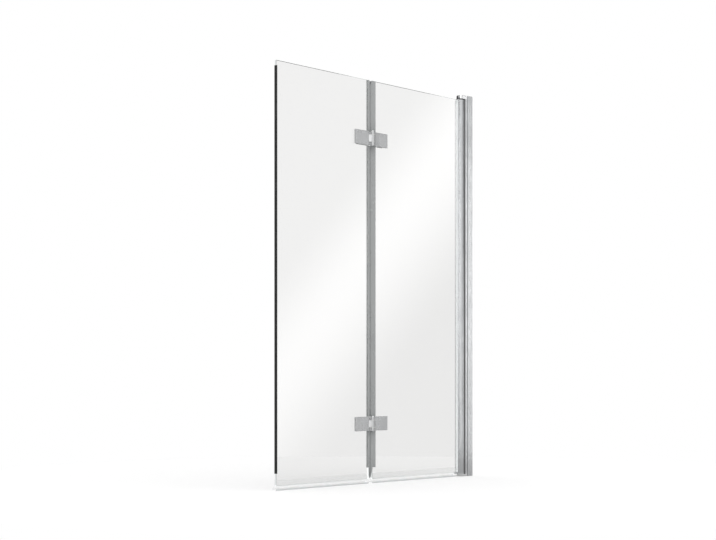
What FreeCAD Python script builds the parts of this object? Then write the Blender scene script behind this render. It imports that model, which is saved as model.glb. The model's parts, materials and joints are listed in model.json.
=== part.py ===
"""A two-pane folding bath screen: wall channel, sliding expander, pivot profile, glass, hinges and seals.

Millimetres, +Z up. The origin is on the wall, at the channel's back face and the level of the bath rim.
The screen runs from the wall towards -X, its front is towards -Y, and y = 0 is the middle of the glass.
"""
import FreeCAD
import Part
import os
import Sketcher

Vector = FreeCAD.Vector
Rotation = FreeCAD.Rotation
TO_BACK = Rotation(Vector(1, 0, 0), -90)  # turns an upright shape to run towards +Y
HAIR = 0.01  # a length too small to matter, used to compare places

# ---------------------------------------------------------------- driving dimensions

SIZES = [
    # wall channel, fixed to the wall
    ("frame_height", 1400, "wall channel, from the rim to its top"),
    ("channel_depth", 27, "wall channel, out from the wall"),
    ("channel_width", 30, "wall channel, front to back"),
    ("channel_wall", 2, "thickness of its web and flanges"),
    ("profile_round", 0.8, "rounding of the profiles' outer edges"),
    ("wall_screw_low", 200, "lowest wall screw hole above the rim"),
    ("wall_screw_pitch", 500, "from one wall screw hole to the next"),
    ("wall_screw_radius", 2.75, "hole for a 5 mm wall screw"),
    # expander profile, which slides in the channel to take up an uneven wall
    ("slide_fit", 0.4, "side gap between the expander and the channel"),
    ("expander_nose", 38, "from the wall to the expander's nose"),
    ("expander_wall", 1.6, "thickness of its web and flanges"),
    ("expander_setback", 8.3, "from the wall to the expander's back edge"),
    ("draw_in", 6, "travel towards the wall"),
    ("draw_out", 8, "travel away from the wall"),
    ("port_reach", 9, "screw port's depth behind the nose web"),
    ("port_width", 8, "screw port's width"),
    ("port_screw_radius", 2, "screw that holds a pivot bracket"),
    ("port_screw_length", 22, "thread of that screw in the port"),
    ("port_head_radius", 3.8, "head of that screw"),
    ("port_head_height", 2.4, "head of that screw"),
    ("wiper_reach", 5.2, "rubber wiper, out from the nose"),
    ("wiper_width", 1.8, "rubber wiper, front to back"),
    ("wiper_tip", 1, "flat tip of the rubber wiper"),
    # locking screws through the channel's back flange
    ("lock_from_wall", 20, "locking screws, out from the wall"),
    ("lock_low", 110, "lowest locking screw above the rim"),
    ("lock_pitch", 590, "from one locking screw to the next"),
    ("lock_radius", 2, "locking screw's thread"),
    ("lock_head_radius", 4, "locking screw's head"),
    ("lock_head_height", 2.4, "locking screw's head"),
    ("nut_size", 8, "locking nut, across its flats"),
    ("nut_thickness", 3.2, "locking nut"),
    ("cover_radius", 6, "snap cover over a locking screw"),
    ("cover_height", 3.6, "snap cover over a locking screw"),
    ("cover_wall", 1, "snap cover's wall"),
    ("slot_play", 0.4, "spare room round a screw in a slot"),
    # pivot profile, which carries the inner pane and turns on two pins
    ("pivot_from_wall", 53.5, "pivot axis, out from the wall"),
    ("barrel_radius", 13.2, "round part of the pivot profile"),
    ("bore_radius", 7, "bore along the round part"),
    ("neck_reach", 24.5, "glazing channel's mouth, from the pivot axis"),
    ("neck_width", 18, "glazing channel, front to back"),
    ("glass_rest", 15, "glass edge, from the pivot axis"),
    ("packer_thickness", 1, "packer between the glass edge and the channel's floor"),
    ("packer_length", 60, "packer, up the glass edge"),
    ("packer_inset", 150, "packer, from the end of the glass"),
    ("gasket_thickness", 2.2, "glazing gasket"),
    ("gasket_lip", 1, "gasket's lip outside the channel"),
    ("end_room", 16, "from the rim to the foot of the glass"),
    ("head_room", 19, "from the frame's top to the top of the glass"),
    ("bracket_inset", 0.5, "pivot bracket, in from the frame's top or foot"),
    ("bracket_thickness", 8, "foot pivot bracket"),
    ("head_thickness", 12.8, "head pivot bracket"),
    ("bracket_nose", 12.5, "round nose of a pivot bracket"),
    ("bracket_round", 1.2, "rounding of the bracket's outer face"),
    ("pivot_play", 0.3, "gap between a pivot bracket and the turning cap"),
    ("cap_thickness", 4, "end cap of the pivot profile, outside the profile"),
    ("stop_length", 4.5, "gasket stop on the head cap, along the mouth"),
    ("stop_rise", 6.6, "gasket stop, above the head cap"),
    ("stop_reach", 2.5, "gasket stop, out over the mouth"),
    ("pivot_pin_radius", 4, "steel pivot pin"),
    ("pin_fit", 0.05, "running gap round a pin in its bush"),
    ("pivot_pin_grip", 20, "pin's length inside its bush"),
    ("pivot_bush_length", 24, "nylon bush in the profile's bore"),
    # panes
    ("glass_thickness", 8, "toughened glass"),
    ("glass_arris", 0.6, "bevel along the glass's polished edges"),
    ("inner_reach", 496.5, "from the pivot axis to the fold axis"),
    ("outer_reach", 450, "from the fold axis to the free edge"),
    ("fold_offset", 15, "fold axis, in front of the glass's middle"),
    ("edge_setback", 10, "each pane's edge, from the fold axis"),
    # edge seals between the panes
    ("seal_grip", 12.3, "edge seal's hold on the glass"),
    ("seal_wall", 1.5, "edge seal's wall"),
    ("seal_play", 0.3, "each edge seal's nose, from the fold plane"),
    ("seal_foot", 55, "end of the edge seal's grip above the rim"),
    ("seal_tip", 18, "tip of the edge seal's nose above the rim"),
    ("notch_depth", 22, "cut at the top of the edge seals' noses"),
    ("notch_half", 6, "half width of that cut"),
    ("seal_end_gap", 0.6, "edge seal's end, from a hinge"),
    # strip on the free edge
    ("strip_wall", 1.6, "edge strip, outside the free edge of the glass"),
    ("strip_skin", 1.2, "edge strip's cheeks"),
    ("strip_grip", 3, "edge strip's hold on the glass"),
    ("strip_drop", 17, "edge strip's top below the top of the glass"),
    # bottom seals
    ("drip_grip", 20, "bottom seal's hold on the glass"),
    ("drip_wall", 1.2, "bottom seal's wall"),
    ("drip_fin", 9, "bottom seal's fin, out behind the glass"),
    ("drip_fin_rise", 4, "tip of that fin above the rim"),
    ("drip_room", 1.5, "bottom seal's end, from the pivot profile"),
    # hinges between the panes
    ("upper_hinge", 219, "middle of the upper hinge below the frame's top"),
    ("lower_hinge", 205, "middle of the lower hinge above the rim"),
    ("hinge_height", 48, "hinge leaf"),
    ("hinge_reach", 81, "hinge leaf's end, from the fold axis"),
    ("leaf_thickness", 6, "hinge leaf"),
    ("leaf_bevel", 0.8, "bevel round the leaf's front and the clamp's back"),
    ("leaf_gap", 10, "leaf's inner edge, from the fold axis"),
    ("pad_thickness", 1, "rubber pad between the leaf and the glass"),
    ("clamp_thickness", 4, "clamp plate behind the glass"),
    ("clamp_reach", 66, "clamp plate's end, from the fold axis"),
    ("knuckle_radius", 9, "hinge knuckle"),
    ("arm_angle", 20, "where the leaf's arm meets the knuckle, in degrees in front of its axis"),
    ("middle_knuckle", 24, "height of the middle knuckle"),
    ("washer_thickness", 0.8, "nylon washer between knuckles"),
    ("washer_play", 0.3, "gap above and below a washer"),
    ("hinge_pin_radius", 3, "steel hinge pin"),
    ("knuckle_bush_wall", 1.5, "nylon bush in the middle knuckle"),
    ("pin_cap_height", 1.6, "button cap at each end of the hinge pin"),
    ("pin_cap_radius", 7, "button cap at each end of the hinge pin"),
    ("pin_cap_slope", 1, "how much narrower the button cap's face is"),
    ("screw_inset", 30, "first clamp screw, from the fold axis"),
    ("screw_pitch", 26, "from the first clamp screw to the second"),
    ("screw_radius", 3, "clamp screw's thread"),
    ("screw_head_radius", 5.5, "clamp screw's countersunk head"),
    ("screw_head_height", 2.5, "clamp screw's countersunk head"),
    ("screw_tip", 1.5, "metal left in front of the clamp screw"),
    ("socket_radius", 2, "hexagon socket in the screw head"),
    ("socket_depth", 1.8, "hexagon socket in the screw head"),
    ("sleeve_wall", 2.2, "sleeve in the glass hole"),
]

doc = FreeCAD.newDocument("BathScreen")
sheet = doc.addObject("Spreadsheet::Sheet", "Sizes")
for row, (alias, number, note) in enumerate(SIZES, start=1):
    sheet.set(f"A{row}", alias)
    sheet.set(f"B{row}", str(number))
    sheet.setAlias(f"B{row}", alias)
    sheet.set(f"C{row}", note)
doc.recompute()


def cell(alias):
    """The expression that reads one size from the sheet."""
    return f"Sizes.{alias}"


# ---------------------------------------------------------------- places worked out from the sizes

HALF_CHANNEL = f"({cell('channel_width')} / 2)"
HALF_EXPANDER = f"({HALF_CHANNEL} - {cell('channel_wall')} - {cell('slide_fit')})"
NOSE_X = f"(-{cell('expander_nose')})"
PIVOT_X = f"(-{cell('pivot_from_wall')})"
FOLD_X = f"({PIVOT_X} - {cell('inner_reach')})"
FOLD_Y = f"(-{cell('fold_offset')})"
FREE_X = f"({FOLD_X} - {cell('outer_reach')})"
FREE_GLASS_X = f"({FREE_X} + {cell('strip_wall')})"
HALF_GLASS = f"({cell('glass_thickness')} / 2)"
HALF_NECK = f"({cell('neck_width')} / 2)"
MOUTH_X = f"({PIVOT_X} - {cell('neck_reach')})"
GLASS_X = f"({PIVOT_X} - {cell('glass_rest')})"
GLASS_LOW = f"({cell('end_room')})"
GLASS_HIGH = f"({cell('frame_height')} - {cell('head_room')})"
FOOT_TOP = f"({cell('bracket_inset')} + {cell('bracket_thickness')})"
HEAD_FOOT = f"({cell('frame_height')} - {cell('bracket_inset')} - {cell('head_thickness')})"
PROFILE_LOW = f"({FOOT_TOP} + {cell('pivot_play')} + {cell('cap_thickness')})"
PROFILE_HIGH = f"({HEAD_FOOT} - {cell('pivot_play')} - {cell('cap_thickness')})"
LEAF_BACK = f"({HALF_GLASS} + {cell('pad_thickness')})"
LEAF_FRONT = f"({LEAF_BACK} + {cell('leaf_thickness')})"
HINGES = {
    "upper": f"({cell('frame_height')} - {cell('upper_hinge')})",
    "lower": cell("lower_hinge"),
}
SIDES = {"outer": -1, "inner": 1}


# ---------------------------------------------------------------- small builders

def bind(thing, **expressions):
    """Ties properties to expressions; a double underscore stands for a dot."""
    for name, expression in expressions.items():
        thing.setExpression(name.replace("__", "."), expression)
    return thing


def place(thing, x="0", y="0", z="0"):
    """Ties an object's place to three expressions."""
    return bind(thing, Placement__Base__x=x, Placement__Base__y=y, Placement__Base__z=z)


def box(label, x, y, z):
    """A block between pairs of expressions along each axis."""
    block = doc.addObject("Part::Box", label)
    bind(block, Length=f"({x[1]}) - ({x[0]})", Width=f"({y[1]}) - ({y[0]})", Height=f"({z[1]}) - ({z[0]})")
    return place(block, x[0], y[0], z[0])


def rod(label, radius, start, length, along="z"):
    """A round bar from a start point, upwards or towards the back."""
    bar = doc.addObject("Part::Cylinder", label)
    if along == "y":
        bar.Placement.Rotation = TO_BACK
    bind(bar, Radius=radius, Height=length)
    return place(bar, *start)


def taper(label, radius, head_radius, start, height):
    """A cone towards the back, from one radius to another."""
    cone = doc.addObject("Part::Cone", label)
    cone.Placement.Rotation = TO_BACK
    bind(cone, Radius1=radius, Radius2=head_radius, Height=height)
    return place(cone, *start)


def cut(label, base, *tools):
    """The base without the tools."""
    tool = tools[0] if len(tools) == 1 else group(f"{label}_tools", tools)
    result = doc.addObject("Part::Cut", label)
    result.Base = base
    result.Tool = tool
    return result


def fuse(label, *pieces):
    """The pieces as one solid."""
    result = doc.addObject("Part::MultiFuse", label)
    result.Shapes = list(pieces)
    result.Refine = True
    return result


def group(label, pieces):
    """Separate solids held together in one object."""
    result = doc.addObject("Part::Compound", label)
    result.Links = list(pieces)
    return result


def new_sketch(body, label, role):
    """A sketch on one of the body's own origin planes."""
    sketch = body.newObject("Sketcher::SketchObject", label)
    plane = next(feature for feature in body.Origin.OriginFeatures if feature.Role == role)
    sketch.AttachmentSupport = (plane, "")
    sketch.MapMode = "FlatFace"
    return sketch


def pin_point(sketch, geometry, end, corner, guess):
    """Ties one point of a sketch to two expressions."""
    for kind, expression, number in zip(("DistanceX", "DistanceY"), corner, guess):
        index = sketch.addConstraint(Sketcher.Constraint(kind, -1, 1, geometry, end, number))
        sketch.setExpression(f"Constraints[{index}]", expression)


def polygon(sketch, corners):
    """A closed outline of straight edges through corners given as expressions."""
    first = sketch.GeometryCount
    count = len(corners)
    guesses = [Rotation(Vector(0, 0, 1), 360 * i / count).multVec(Vector(10, 1, 0)) for i in range(count)]
    for i in range(count):
        sketch.addGeometry(Part.LineSegment(guesses[i], guesses[(i + 1) % count]), False)
    for i in range(count):
        sketch.addConstraint(Sketcher.Constraint("Coincident", first + i, 2, first + (i + 1) % count, 1))
    for i, corner in enumerate(corners):
        pin_point(sketch, first + i, 1, corner, (guesses[i].x, guesses[i].y))


def circle(sketch, centre, radius):
    """A circle whose centre and radius are expressions."""
    index = sketch.addGeometry(Part.Circle(Vector(1, 1, 0), Vector(0, 0, 1), 1), False)
    pin_point(sketch, index, 3, centre, (1, 1))
    size = sketch.addConstraint(Sketcher.Constraint("Radius", index, 1))
    sketch.setExpression(f"Constraints[{size}]", radius)


def pad(body, sketch, length):
    """Extrudes a sketch along its own normal."""
    feature = body.newObject("PartDesign::Pad", f"{sketch.Label}_pad")
    feature.Profile = sketch
    return bind(feature, Length=length)


def pocket(body, sketch, length, both=False, backwards=False):
    """Cuts a sketch out of the body, and makes sure that something was cut."""
    doc.recompute()
    before = body.Shape.Volume
    feature = body.newObject("PartDesign::Pocket", f"{sketch.Label}_pocket")
    feature.Profile = sketch
    feature.Reversed = backwards
    if both:
        feature.SideType = "Symmetric"
    bind(feature, Length=length)
    doc.recompute()
    if not body.Shape.Volume < before:
        raise RuntimeError(f"{feature.Label} cuts nothing")
    return feature


def profile(label, corners, low, high):
    """A body extruded upwards from a closed outline."""
    body = doc.addObject("PartDesign::Body", label)
    sketch = new_sketch(body, f"{label}_outline", "XY_Plane")
    polygon(sketch, corners)
    place(body, z=low)
    pad(body, sketch, f"({high}) - ({low})")
    return body


def flat_face(shape, direction):
    """The name of the flat face that looks one way and lies furthest that way."""
    flat = [
        (face.CenterOfMass.dot(direction), index)
        for index, face in enumerate(shape.Faces, start=1)
        if face.Surface.TypeId == "Part::GeomPlane" and face.normalAt(0, 0).dot(direction) > 0.99
    ]
    return f"Face{max(flat)[1]}"


def bevel_faces(body, directions, size):
    """Bevels all edges of the outermost flat faces that look in the given directions."""
    doc.recompute()
    base = body.Tip
    bevel = body.newObject("PartDesign::Chamfer", f"{body.Label}_bevel")
    bevel.Base = (base, [flat_face(base.Shape, direction) for direction in directions])
    bind(bevel, Size=size)


def round_front_edges(body, radius):
    """Rounds the upright edges that lie furthest from the wall."""
    doc.recompute()
    base = body.Tip
    left = base.Shape.BoundBox.XMin
    names = []
    for index, edge in enumerate(base.Shape.Edges, start=1):
        span = edge.BoundBox
        if span.XMax - left < HAIR and span.YLength < HAIR and span.ZLength > HAIR:
            names.append(f"Edge{index}")
    fillet = body.newObject("PartDesign::Fillet", f"{body.Label}_rounding")
    fillet.Base = (base, names)
    bind(fillet, Radius=radius)


def rectangle(start, end, half):
    """The corners of a strip between two places along X, centred on the middle of the glass."""
    return [(start, f"-{half}"), (end, f"-{half}"), (end, half), (start, half)]


def mirror_y(corners):
    """The same outline on the other side of the glass's middle."""
    return [(x, f"-({y})") for x, y in corners]


# ---------------------------------------------------------------- wall frame

def channel_corners(back, front, half, wall, open_to_wall):
    """The outline of a U section between two distances from the wall."""
    web, mouth = (front, back) if open_to_wall else (back, front)
    floor = f"({web} + {wall})" if open_to_wall else f"({web} - {wall})"
    inner = f"({half} - {wall})"
    return [
        (web, f"-{half}"), (mouth, f"-{half}"), (mouth, f"-{inner}"), (floor, f"-{inner}"),
        (floor, inner), (mouth, inner), (mouth, half), (web, half),
    ]


def row_heights(row):
    """Heights of a row of screws: the lowest, then one at every pitch that the channel has room for."""
    numbers = {alias: number for alias, number, note in SIZES}
    low, pitch = f"{row}_low", f"{row}_pitch"
    room = numbers["frame_height"] - 2 * numbers[low]
    steps = round(room / numbers[pitch], 3) // 1
    return [f"({cell(low)} + {step} * {cell(pitch)})" for step in range(1 + max(0, int(steps)))]


def make_wall_channel():
    """The U section on the wall, with its wall screw holes and locking screw holes."""
    wall = cell("channel_wall")
    front = f"(-{cell('channel_depth')})"
    corners = channel_corners("0", front, HALF_CHANNEL, wall, open_to_wall=False)
    body = profile("wall_channel", corners, "0", cell("frame_height"))

    wall_holes = new_sketch(body, "wall_screw_holes", "YZ_Plane")
    for height in row_heights("wall_screw"):
        circle(wall_holes, ("0", height), cell("wall_screw_radius"))
    pocket(body, wall_holes, f"{wall} * 3", both=True)

    lock_holes = new_sketch(body, "locking_holes", "XZ_Plane")
    for height in row_heights("lock"):
        circle(lock_holes, (f"-{cell('lock_from_wall')}", height), cell("lock_radius"))
    pocket(body, lock_holes, HALF_CHANNEL)
    round_front_edges(body, cell("profile_round"))


def make_locking_screws():
    """Screws in the channel's back flange, their nuts inside the expander, and snap covers."""
    x = f"(-{cell('lock_from_wall')})"
    inside = f"({HALF_EXPANDER} - {cell('expander_wall')} - {cell('slide_fit')})"
    screws, nuts, covers = [], [], []
    tip = f"({inside} - {cell('nut_thickness')})"
    for step, z in enumerate(row_heights("lock")):
        shank = rod(f"lock_shank_{step}", cell("lock_radius"), (x, tip, z), f"{HALF_CHANNEL} - {tip}", "y")
        head = rod(f"lock_head_{step}", cell("lock_head_radius"), (x, HALF_CHANNEL, z),
                   cell("lock_head_height"), "y")
        screws.append(fuse(f"lock_screw_{step}", shank, head))

        half_nut = f"({cell('nut_size')} / 2)"
        block = box(f"nut_block_{step}", (f"{x} - {half_nut}", f"{x} + {half_nut}"), (tip, inside),
                    (f"{z} - {half_nut}", f"{z} + {half_nut}"))
        thread = rod(f"nut_thread_{step}", cell("lock_radius"), (x, tip, z), cell("nut_thickness"), "y")
        nuts.append(cut(f"lock_nut_{step}", block, thread))

        crown = f"({cell('cover_radius')} - {cell('cover_wall')})"
        dome = taper(f"cover_dome_{step}", cell("cover_radius"), crown, (x, HALF_CHANNEL, z),
                           cell("cover_height"))
        hollow = rod(f"cover_hollow_{step}", cell("lock_head_radius"), (x, HALF_CHANNEL, z),
                     cell("lock_head_height"), "y")
        covers.append(cut(f"cover_{step}", dome, hollow))
    group("locking_screws", screws)
    group("locking_nuts", nuts)
    group("screw_covers", covers)


# ---------------------------------------------------------------- expander and pivot brackets

def make_expander():
    """The sliding U section, with a screw port behind its nose and slots for the locking screws."""
    wall = cell("expander_wall")
    back = f"(-{cell('expander_setback')})"
    corners = channel_corners(back, NOSE_X, HALF_EXPANDER, wall, open_to_wall=True)
    body = profile("expander_profile", corners, FOOT_TOP, HEAD_FOOT)

    port = new_sketch(body, "screw_port", "XY_Plane")
    half_port = f"({cell('port_width')} / 2)"
    far = f"({NOSE_X} + {cell('port_reach')})"
    polygon(port, rectangle(NOSE_X, far, half_port))
    pad(body, port, f"{HEAD_FOOT} - {FOOT_TOP}")

    port_hole = new_sketch(body, "port_hole", "XY_Plane")
    circle(port_hole, (port_x(), "0"), cell("port_screw_radius"))
    pocket(body, port_hole, f"{HEAD_FOOT} - {FOOT_TOP}", backwards=True)

    slots = new_sketch(body, "locking_slots", "XZ_Plane")
    half_slot = f"({cell('lock_radius')} + {cell('slot_play')})"
    left = f"(-{cell('lock_from_wall')} - {cell('draw_in')} - {half_slot})"
    right = f"(-{cell('lock_from_wall')} + {cell('draw_out')} + {half_slot})"
    for height in row_heights("lock"):
        middle = f"({height} - {FOOT_TOP})"
        low, high = f"{middle} - {half_slot}", f"{middle} + {half_slot}"
        polygon(slots, [(left, low), (right, low), (right, high), (left, high)])
    pocket(body, slots, HALF_EXPANDER)
    round_front_edges(body, cell("profile_round"))


def port_x():
    """How far the screw port's hole is from the wall."""
    return f"({NOSE_X} + ({cell('expander_wall')} + {cell('port_reach')}) / 2)"


def make_wipers():
    """Rubber strips on the nose that close the gap to the pivot profile."""
    tip = f"({NOSE_X} - {cell('wiper_reach')})"
    outside = f"({HALF_EXPANDER} - {cell('profile_round')})"
    root = f"({outside} - {cell('wiper_width')})"
    flat = cell("wiper_tip")
    corners = [
        (NOSE_X, outside), (NOSE_X, root), (f"{tip} + {flat}", root), (tip, f"{root} + {flat}"),
        (tip, f"{root} + 2 * {flat}"),
    ]
    profile("wiper_back", corners, FOOT_TOP, HEAD_FOOT)
    profile("wiper_front", mirror_y(corners), FOOT_TOP, HEAD_FOOT)


PIN_GRIP = f"({cell('pivot_play')} + {cell('cap_thickness')} + {cell('pivot_pin_grip')})"


def make_bracket(name, low, outwards, thickness, pin_start, screw_start, head_start):
    """A cap that closes the expander's end and carries the pivot pin in its round nose."""
    radius = cell("bracket_nose")
    heights = (low, f"({low} + {thickness})")
    back = f"(-{cell('expander_setback')})"
    plate = box(f"{name}_plate", (NOSE_X, back), (f"-{HALF_EXPANDER}", HALF_EXPANDER), heights)
    arm = box(f"{name}_arm", (PIVOT_X, NOSE_X), (f"-{radius}", radius), heights)
    nose = rod(f"{name}_nose", radius, (PIVOT_X, "0", low), thickness)
    blank = rounded_rim(f"{name}_blank", fuse(f"{name}_rough", plate, arm, nose), outwards)

    port = (port_x(), "0")
    head_radius, head_height = cell("port_head_radius"), cell("port_head_height")
    pin_hole = rod(f"{name}_pin_hole", cell("pivot_pin_radius"), (PIVOT_X, "0", low), thickness)
    screw_hole = rod(f"{name}_screw_hole", cell("port_screw_radius"), (*port, low), thickness)
    head_hole = rod(f"{name}_head_hole", head_radius, (*port, head_start), head_height)
    cut(f"{name}_bracket", blank, pin_hole, screw_hole, head_hole)

    rod(f"{name}_pivot_pin", cell("pivot_pin_radius"), (PIVOT_X, "0", pin_start), f"{thickness} + {PIN_GRIP}")
    thread_length = f"({cell('port_screw_length')} + {thickness} - {head_height})"
    thread = rod(f"{name}_thread", cell("port_screw_radius"), (*port, screw_start), thread_length)
    head = rod(f"{name}_head", head_radius, (*port, head_start), head_height)
    return fuse(f"{name}_screw", thread, head)


def rounded_rim(label, base, outwards):
    """Rounds the rim of the top face (outwards = 1) or the bottom face (-1)."""
    doc.recompute()
    level = base.Shape.BoundBox.ZMax if outwards > 0 else base.Shape.BoundBox.ZMin
    size = float(sheet.get("bracket_round"))
    rims = [
        (index, size, size)
        for index, edge in enumerate(base.Shape.Edges, start=1)
        if edge.BoundBox.ZLength < HAIR and abs(edge.BoundBox.ZMin - level) < HAIR
    ]
    result = doc.addObject("Part::Fillet", label)
    result.Base = base
    result.Edges = rims
    return result


def make_brackets():
    """The foot and head brackets, with their pins and screws."""
    low = cell("bracket_inset")
    foot = make_bracket(
        "foot", low, -1,
        thickness=cell("bracket_thickness"),
        pin_start=low,
        screw_start=f"({low} + {cell('port_head_height')})",
        head_start=low,
    )
    head = make_bracket(
        "head", HEAD_FOOT, 1,
        thickness=cell("head_thickness"),
        pin_start=f"({HEAD_FOOT} - {PIN_GRIP})",
        screw_start=f"({HEAD_FOOT} - {cell('port_screw_length')})",
        head_start=f"({HEAD_FOOT} + {cell('head_thickness')} - {cell('port_head_height')})",
    )
    group("bracket_screws", [foot, head])


# ---------------------------------------------------------------- pivot profile

def make_pivot_blank(label, low, high):
    """The pivot profile's outer section: a round barrel with a straight neck."""
    body = profile(label, rectangle(MOUTH_X, PIVOT_X, HALF_NECK), low, high)
    barrel = new_sketch(body, f"{label}_barrel", "XY_Plane")
    circle(barrel, (PIVOT_X, "0"), cell("barrel_radius"))
    pad(body, barrel, f"({high}) - ({low})")
    return body


def make_head_cover(low, thickness):
    """The head cap: a disc over the bore, a rail along the front wall and a stop over the front gasket."""
    high = f"({low} + {thickness})"
    depths = (f"-{HALF_NECK}", f"-{HALF_GLASS}")
    stop_start = f"({MOUTH_X} - {cell('stop_reach')})"
    stop_end = f"({stop_start} + {cell('stop_length')})"
    disc = rod("head_cap_disc", cell("barrel_radius"), (PIVOT_X, "0", low), thickness)
    rail = box("head_cap_rail", (MOUTH_X, PIVOT_X), depths, (low, high))
    stop = box("head_cap_stop", (stop_start, stop_end), depths, (low, f"({high} + {cell('stop_rise')})"))
    return fuse("head_cap_plate", disc, rail, stop)


def make_pivot_profile():
    """The turning extrusion, its end caps and bushes, and what holds the glass in it."""
    body = make_pivot_blank("pivot_profile", PROFILE_LOW, PROFILE_HIGH)
    height = f"({PROFILE_HIGH} - {PROFILE_LOW})"
    bore = new_sketch(body, "pivot_bore", "XY_Plane")
    circle(bore, (PIVOT_X, "0"), cell("bore_radius"))
    pocket(body, bore, height, backwards=True)
    floor = f"({GLASS_X} + {cell('packer_thickness')})"
    half = f"({HALF_GLASS} + {cell('gasket_thickness')})"
    groove = new_sketch(body, "glazing_groove", "XY_Plane")
    polygon(groove, rectangle(MOUTH_X, floor, half))
    pocket(body, groove, height, backwards=True)
    round_front_edges(body, cell("profile_round"))

    lip = f"({MOUTH_X} - {cell('gasket_lip')})"
    strip = [(lip, HALF_GLASS), (GLASS_X, HALF_GLASS), (GLASS_X, half), (MOUTH_X, half)]
    profile("glazing_gasket_back", strip, GLASS_LOW, GLASS_HIGH)
    profile("glazing_gasket_front", mirror_y(strip), GLASS_LOW, GLASS_HIGH)

    packers = []
    for name, low in (
        ("low", f"({GLASS_LOW} + {cell('packer_inset')})"),
        ("high", f"({GLASS_HIGH} - {cell('packer_inset')} - {cell('packer_length')})"),
    ):
        packers.append(box(f"packer_{name}", (GLASS_X, floor), (f"-{HALF_GLASS}", HALF_GLASS),
                           (low, f"({low} + {cell('packer_length')})")))
    group("glass_packers", packers)

    bush_radius = f"({cell('pivot_pin_radius')} + {cell('pin_fit')})"
    hole_radius = f"({bush_radius} + {cell('pivot_play')})"
    thickness = cell("cap_thickness")
    ends = {
        "foot": (f"({PROFILE_LOW} - {thickness})", PROFILE_LOW, (PROFILE_LOW, GLASS_LOW)),
        "head": (PROFILE_HIGH, f"({PROFILE_HIGH} - {cell('pivot_bush_length')})", (GLASS_HIGH, PROFILE_HIGH)),
    }
    for name, (cap_low, bush_low, tongue_heights) in ends.items():
        if name == "head":
            plate = make_head_cover(cap_low, thickness)
        else:
            plate = make_pivot_blank(f"{name}_cap_plate", cap_low, f"({cap_low} + {thickness})")
        tongue = box(f"{name}_cap_tongue", (MOUTH_X, GLASS_X), (f"-{half}", half), tongue_heights)
        hole = rod(f"{name}_cap_hole", hole_radius, (PIVOT_X, "0", cap_low), thickness)
        cut(f"{name}_pivot_cap", fuse(f"{name}_cap_blank", plate, tongue), hole)
        start, length = (PIVOT_X, "0", bush_low), cell("pivot_bush_length")
        bush = rod(f"{name}_bush_blank", cell("bore_radius"), start, length)
        bush_hole = rod(f"{name}_bush_hole", bush_radius, start, length)
        cut(f"{name}_pivot_bush", bush, bush_hole)


# ---------------------------------------------------------------- panes

def from_fold(side, distance):
    """A place at a distance from the fold axis, on the outer or the inner side."""
    return f"({FOLD_X} + {SIDES[side]} * ({distance}))"


def screw_places(side):
    """The clamp screws of one leaf of both hinges, as x and z."""
    places = []
    for middle in HINGES.values():
        for step in range(2):
            x = from_fold(side, f"{cell('screw_inset')} + {step} * {cell('screw_pitch')}")
            places.append((x, middle))
    return places


HOLE_RADIUS = f"({cell('screw_radius')} + {cell('slot_play')} + {cell('sleeve_wall')})"


def make_pane(side):
    """One pane of toughened glass with its four hinge holes."""
    near = from_fold(side, cell("edge_setback"))
    far = FREE_GLASS_X if side == "outer" else GLASS_X
    body = profile(f"{side}_glass", rectangle(near, far, HALF_GLASS), GLASS_LOW, GLASS_HIGH)
    holes = new_sketch(body, f"{side}_hinge_holes", "XZ_Plane")
    for x, z in screw_places(side):
        circle(holes, (x, f"{z} - {GLASS_LOW}"), HOLE_RADIUS)
    pocket(body, holes, f"{cell('glass_thickness')} * 2", both=True)
    bevel_faces(body, [Vector(0, -1, 0), Vector(0, 1, 0)], cell("glass_arris"))


def make_edge_strip():
    """A dark strip that guards the free edge of the outer pane."""
    skin = f"({HALF_GLASS} + {cell('strip_skin')})"
    mouth = f"({FREE_GLASS_X} + {cell('strip_grip')})"
    profile("free_edge_strip", [
        (mouth, f"-{skin}"), (FREE_X, f"-{skin}"), (FREE_X, skin), (mouth, skin), (mouth, HALF_GLASS),
        (FREE_GLASS_X, HALF_GLASS), (FREE_GLASS_X, f"-{HALF_GLASS}"), (mouth, f"-{HALF_GLASS}"),
    ], cell("seal_foot"), f"({GLASS_HIGH} - {cell('strip_drop')})")


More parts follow.
